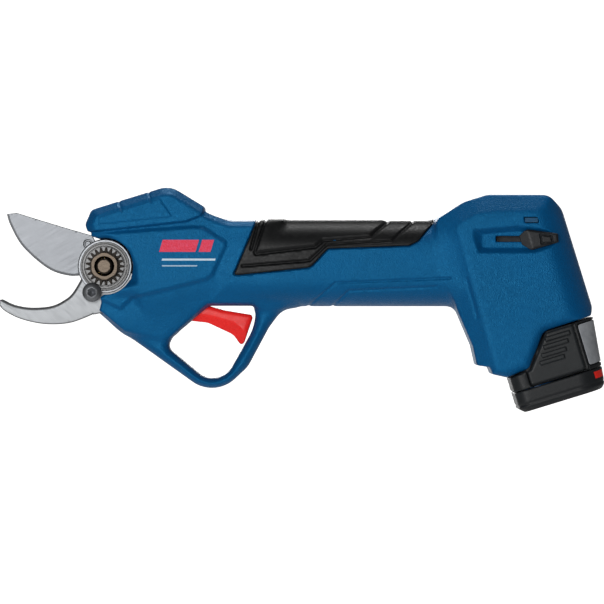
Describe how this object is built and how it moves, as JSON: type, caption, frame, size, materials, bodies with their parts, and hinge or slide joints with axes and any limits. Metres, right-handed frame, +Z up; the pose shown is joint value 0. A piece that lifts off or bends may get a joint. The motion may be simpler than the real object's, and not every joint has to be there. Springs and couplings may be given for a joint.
{
  "type": "battery electric pruner",
  "caption": "One-hand cordless pruning shear: hooked jaw and swinging blade at a round head, trigger in a finger guard, gripped handle, clip-in battery in the rear block.",
  "frame": {"origin": "centre of the bounding box in X and Y, at its lowest point, which is the foot of the battery", "axes": "+X from the blades towards the battery, +Z up with the handle level, -Y towards the left side of the tool"},
  "size_m": [0.3013, 0.048, 0.1099],
  "materials": {
    "blue_housing": "moulded, fine spark-eroded grain",
    "grip_rubber": "matte overmould",
    "blade_steel": "ground along the spine",
    "hook_steel": "satin, ground across",
    "disc_steel": "turned",
    "dark_steel": "dark oxide",
    "nut_steel": "dark zinc",
    "steel": "machined",
    "brass": "machined",
    "cast_aluminium": "cast",
    "black_plastic": "moulded",
    "battery_plastic": "moulded, fine grain",
    "latch_plastic": "moulded, ribbed",
    "battery_label": "glossy wrap",
    "slider_plastic": "satin",
    "window_plastic": "polished",
    "red_trigger": "satin",
    "board": "solder mask",
    "lead_rubber": "insulated",
    "cell": "shrink wrap"
  },
  "bodies": {
    "tool": {"housing_left": "blue_housing", "housing_right": "blue_housing", "grip_pad_left": "grip_rubber", "grip_pad_right": "grip_rubber", "hook": "hook_steel", "hook_screw_1": "steel", "hook_screw_2": "steel", "backing_washer": "dark_steel", "lock_disc": "disc_steel", "lock_collar": "dark_steel", "lock_screw": "dark_steel", "pivot_nut": "nut_steel", "pivot_bolt": "nut_steel", "blade_bush": "brass", "thrust_washer": "brass", "head_frame": "cast_aluminium", "pinion_bearing": "steel", "ring_gear": "steel", "gearbox_cover": "cast_aluminium", "motor_can": "steel", "motor_end_bell": "black_plastic", "control_board": "board", "motor_lead_1": "lead_rubber", "motor_lead_2": "lead_rubber", "trigger_pin": "steel", "trigger_spring": "steel", "trigger_sensor": "black_plastic", "slide_switch": "black_plastic", "indicator_window": "window_plastic", "terminal_block": "black_plastic", "terminal_contact_1": "brass", "terminal_contact_2": "brass", "housing_screw_1": "steel", "housing_screw_2": "steel", "housing_screw_3": "steel", "housing_screw_4": "steel", "housing_screw_5": "steel", "housing_screw_6": "steel", "housing_screw_7": "steel"},
    "head_blade": {"blade": "blade_steel", "sector_gear": "steel"},
    "output_shaft": {"planet_carrier": "steel", "bevel_pinion": "steel"},
    "planet_1": {"planet_gear_1": "steel"},
    "planet_2": {"planet_gear_2": "steel"},
    "planet_3": {"planet_gear_3": "steel"},
    "rotor": {"motor_rotor": "steel"},
    "trigger_lever": {"trigger": "red_trigger"},
    "switch_slider": {"power_slider": "slider_plastic"},
    "battery_pack": {"battery_base": "battery_plastic", "battery_shell": "battery_plastic", "battery_label": "battery_label", "battery_cell_1": "cell", "battery_cell_2": "cell", "battery_cell_3": "cell"},
    "latch_left": {"battery_latch_left": "latch_plastic"},
    "latch_right": {"battery_latch_right": "latch_plastic"}
  },
  "joints": [
    {"name": "blade_swing", "type": "hinge", "parent": "tool", "child": "head_blade", "pos_m": [-0.098, 0, 0.0725], "axis": [0, -1, 0], "range_deg": [0, 38]},
    {"name": "output_spin", "type": "hinge", "parent": "tool", "child": "output_shaft", "pos_m": [-0.07, 0.0016, 0.0725], "axis": [-1, 0, 0], "range_deg": [-1, 153]},
    {"name": "rotor_spin", "type": "hinge", "parent": "tool", "child": "rotor", "pos_m": [-0.07, 0.0016, 0.0725], "axis": [-1, 0, 0], "range_deg": [-4, 612]},
    {"name": "planet_1_spin", "type": "hinge", "parent": "output_shaft", "child": "planet_1", "pos_m": [-0.063, 0.0079, 0.0725], "axis": [-1, 0, 0], "range_deg": [-460, 3]},
    {"name": "planet_2_spin", "type": "hinge", "parent": "output_shaft", "child": "planet_2", "pos_m": [-0.063, -0.00155, 0.07796], "axis": [-1, 0, 0], "range_deg": [-460, 3]},
    {"name": "planet_3_spin", "type": "hinge", "parent": "output_shaft", "child": "planet_3", "pos_m": [-0.063, -0.00155, 0.06704], "axis": [-1, 0, 0], "range_deg": [-460, 3]},
    {"name": "trigger_pull", "type": "hinge", "parent": "tool", "child": "trigger_lever", "pos_m": [-0.058, 0, 0.052], "axis": [0, -1, 0], "range_deg": [0, 7.5], "stiffness_Nm_per_rad": 0.25, "springref_deg": -6.88},
    {"name": "power_slide", "type": "slide", "parent": "tool", "child": "switch_slider", "axis": [-1, 0, 0], "range_m": [0, 0.012]},
    {"name": "battery_slide", "type": "slide", "parent": "tool", "child": "battery_pack", "axis": [0.2924, 0, -0.9563], "range_m": [0, 0.07]},
    {"name": "latch_left_press", "type": "hinge", "parent": "battery_pack", "child": "latch_left", "pos_m": [0.12667, -0.0236, 0.0169], "axis": [-0.9563, 0, -0.2924], "range_deg": [0, 3], "stiffness_Nm_per_rad": 0.3, "springref_deg": -5.73},
    {"name": "latch_right_press", "type": "hinge", "parent": "battery_pack", "child": "latch_right", "pos_m": [0.12667, 0.0236, 0.0169], "axis": [0.9563, 0, 0.2924], "range_deg": [0, 3], "stiffness_Nm_per_rad": 0.3, "springref_deg": -5.73}
  ],
  "couplings": [
    {"joint": "output_spin", "follows": "blade_swing", "ratio": 4},
    {"joint": "rotor_spin", "follows": "blade_swing", "ratio": 16},
    {"joint": "planet_1_spin", "follows": "blade_swing", "ratio": -12},
    {"joint": "planet_2_spin", "follows": "blade_swing", "ratio": -12},
    {"joint": "planet_3_spin", "follows": "blade_swing", "ratio": -12}
  ]
}
